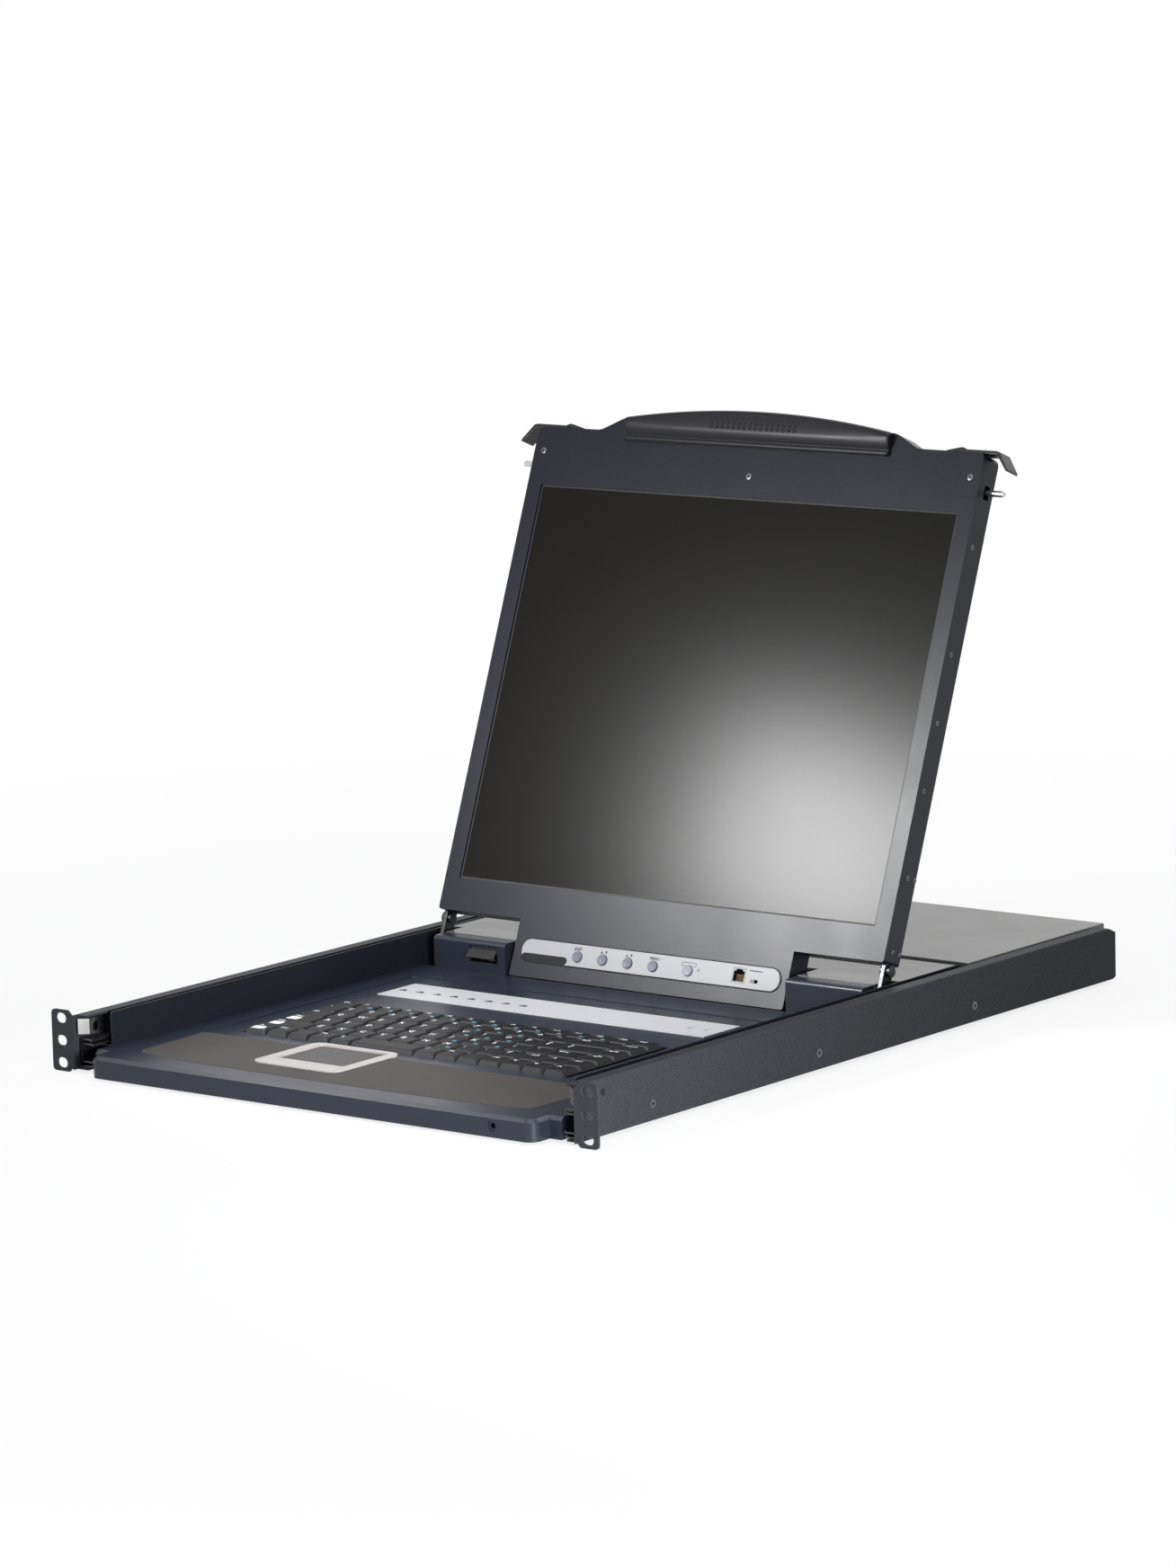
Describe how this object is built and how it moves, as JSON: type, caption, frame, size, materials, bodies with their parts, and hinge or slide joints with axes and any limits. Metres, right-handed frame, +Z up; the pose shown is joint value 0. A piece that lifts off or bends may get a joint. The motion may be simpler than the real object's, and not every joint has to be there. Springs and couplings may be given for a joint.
{
  "type": "rackmount lcd console drawer",
  "caption": "Rack console drawer: keyboard and touchpad tray on ball slides, fold-down flat screen lid with carry grip and side latches, rear switch box.",
  "frame": {"origin": "centre of the bolt pattern of the two rack ears, on the ears' rear face", "axes": "+X to the right seen from the front, +Y to the rear of the rack, +Z up"},
  "size_m": [0.4826, 0.666, 0.422],
  "materials": {
    "rail_paint": "fine powder coat",
    "navy_paint": "fine powder coat, blue-black",
    "screw_steel": "blackened",
    "zinc_steel": "zinc plated",
    "spring_steel": "bright",
    "hinge_steel": "blackened",
    "circuit_board": "solder mask",
    "connector_metal": "plated",
    "black_plastic": "moulded",
    "deck_plastic": "moulded, blue-black",
    "palm_texture": "grained",
    "pale_plastic": "satin",
    "pad_plastic": "fine grain",
    "key_plastic": "satin",
    "silver_label": "printed film",
    "light_lens": "clear lens",
    "screen_film": "anti-glare",
    "blue_button": "satin",
    "violet_button": "satin",
    "handle_plastic": "moulded"
  },
  "bodies": {
    "chassis": {"rail_left": "rail_paint", "rail_right": "rail_paint", "chassis_screws": "screw_steel", "slide_outer_members": "zinc_steel", "latch_catches": "spring_steel", "box_brackets": "zinc_steel", "rear_box_tray": "zinc_steel", "rear_box_cover": "navy_paint", "switch_board": "circuit_board", "rear_connectors": "connector_metal", "power_supply": "circuit_board", "power_inlet": "black_plastic"},
    "rocker": {"power_rocker": "black_plastic"},
    "slide_middle": {"slide_middle_members": "zinc_steel"},
    "cages_outer": {"ball_cages_outer": "zinc_steel"},
    "cages_inner": {"ball_cages_inner": "zinc_steel"},
    "drawer": {"base_pan": "navy_paint", "side_wall_left": "navy_paint", "side_wall_right": "navy_paint", "slide_inner_members": "zinc_steel", "deck_cover": "deck_plastic", "palm_panel": "palm_texture", "touchpad_surround": "pale_plastic", "touchpad": "pad_plastic", "keyboard_base": "black_plastic", "status_strip": "silver_label", "status_lights": "light_lens", "hinge_block_left": "deck_plastic", "hinge_block_right": "deck_plastic", "front_usb_port": "connector_metal", "mid_cover": "navy_paint", "hinge_brackets": "zinc_steel"},
    "pad_button_left": {"touchpad_button_left": "pale_plastic"},
    "pad_button_right": {"touchpad_button_right": "pale_plastic"},
    "keys": {"keycaps": "key_plastic"},
    "space_key": {"space_bar": "key_plastic"},
    "door": {"port_door": "black_plastic"},
    "lid": {"lid_bezel": "navy_paint", "lid_rear_cover": "navy_paint", "lcd_screen": "screen_film", "lcd_backlight": "zinc_steel", "lid_boards": "circuit_board", "control_strip": "silver_label", "service_jack": "black_plastic", "lid_handle": "handle_plastic", "lid_screws": "screw_steel", "hinge_arms": "hinge_steel", "hinge_shafts": "spring_steel", "latch_springs": "spring_steel"},
    "menu_1": {"menu_button_1": "blue_button"},
    "menu_2": {"menu_button_2": "blue_button"},
    "menu_3": {"menu_button_3": "blue_button"},
    "menu_4": {"menu_button_4": "blue_button"},
    "power_key": {"display_power_button": "violet_button"},
    "mode_slider": {"mode_switch": "black_plastic"},
    "latch_left": {"latch_slider_left": "black_plastic", "latch_pin_left": "spring_steel"},
    "latch_right": {"latch_slider_right": "black_plastic", "latch_pin_right": "spring_steel"}
  },
  "joints": [
    {"name": "drawer_slide", "type": "slide", "parent": "chassis", "child": "drawer", "axis": [0, -1, 0], "range_m": [0, 0.4]},
    {"name": "middle_slide", "type": "slide", "parent": "chassis", "child": "slide_middle", "axis": [0, -1, 0], "range_m": [0, 0.2]},
    {"name": "outer_cage_slide", "type": "slide", "parent": "chassis", "child": "cages_outer", "axis": [0, -1, 0], "range_m": [0, 0.1]},
    {"name": "inner_cage_slide", "type": "slide", "parent": "chassis", "child": "cages_inner", "axis": [0, -1, 0], "range_m": [0, 0.3]},
    {"name": "lid_hinge", "type": "hinge", "parent": "drawer", "child": "lid", "pos_m": [0, 0.3797, 0.0094], "axis": [1, 0, 0], "range_deg": [-8.64, 111.36], "deforming": ["latch_catches"]},
    {"name": "port_door_hinge", "type": "hinge", "parent": "drawer", "child": "door", "pos_m": [-0.14765, 0.3644, 0.0127], "axis": [1, 0, 0], "range_deg": [-46.4, 43.6]},
    {"name": "keys_press", "type": "slide", "parent": "drawer", "child": "keys", "axis": [0, 0, -1], "range_m": [0, 0.002], "stiffness_N_per_m": 2500, "springref_m": -0.0008},
    {"name": "space_press", "type": "slide", "parent": "drawer", "child": "space_key", "axis": [0, 0, -1], "range_m": [0, 0.002], "stiffness_N_per_m": 300, "springref_m": -0.0008},
    {"name": "pad_button_left_press", "type": "slide", "parent": "drawer", "child": "pad_button_left", "axis": [0, 0, -1], "range_m": [0, 0.0005], "stiffness_N_per_m": 600, "springref_m": -0.0005},
    {"name": "pad_button_right_press", "type": "slide", "parent": "drawer", "child": "pad_button_right", "axis": [0, 0, -1], "range_m": [0, 0.0005], "stiffness_N_per_m": 600, "springref_m": -0.0005},
    {"name": "power_rocker_tilt", "type": "hinge", "parent": "chassis", "child": "rocker", "pos_m": [0.147, 0.641, 0], "axis": [1, 0, 0], "range_deg": [0, 18]},
    {"name": "mode_slide", "type": "slide", "parent": "lid", "child": "mode_slider", "axis": [1, 0, 0], "range_m": [0, 0.0026]},
    {"name": "latch_left_slide", "type": "slide", "parent": "lid", "child": "latch_left", "axis": [1, 0, 0], "range_m": [0, 0.008], "stiffness_N_per_m": 400, "springref_m": -0.004, "deforming": ["latch_springs"]},
    {"name": "latch_right_slide", "type": "slide", "parent": "lid", "child": "latch_right", "axis": [-1, 0, 0], "range_m": [0, 0.008], "stiffness_N_per_m": 400, "springref_m": -0.004, "deforming": ["latch_springs"]},
    {"name": "menu_1_press", "type": "slide", "parent": "lid", "child": "menu_1", "axis": [0, 0.9313, -0.3642], "range_m": [0, 0.0008], "stiffness_N_per_m": 500, "springref_m": -0.0006},
    {"name": "menu_2_press", "type": "slide", "parent": "lid", "child": "menu_2", "axis": [0, 0.9313, -0.3642], "range_m": [0, 0.0008], "stiffness_N_per_m": 500, "springref_m": -0.0006},
    {"name": "menu_3_press", "type": "slide", "parent": "lid", "child": "menu_3", "axis": [0, 0.9313, -0.3642], "range_m": [0, 0.0008], "stiffness_N_per_m": 500, "springref_m": -0.0006},
    {"name": "menu_4_press", "type": "slide", "parent": "lid", "child": "menu_4", "axis": [0, 0.9313, -0.3642], "range_m": [0, 0.0008], "stiffness_N_per_m": 500, "springref_m": -0.0006},
    {"name": "power_key_press", "type": "slide", "parent": "lid", "child": "power_key", "axis": [0, 0.9313, -0.3642], "range_m": [0, 0.0008], "stiffness_N_per_m": 500, "springref_m": -0.0006}
  ],
  "couplings": [
    {"joint": "middle_slide", "follows": "drawer_slide", "ratio": 0.5},
    {"joint": "outer_cage_slide", "follows": "drawer_slide", "ratio": 0.25},
    {"joint": "inner_cage_slide", "follows": "drawer_slide", "ratio": 0.75}
  ]
}
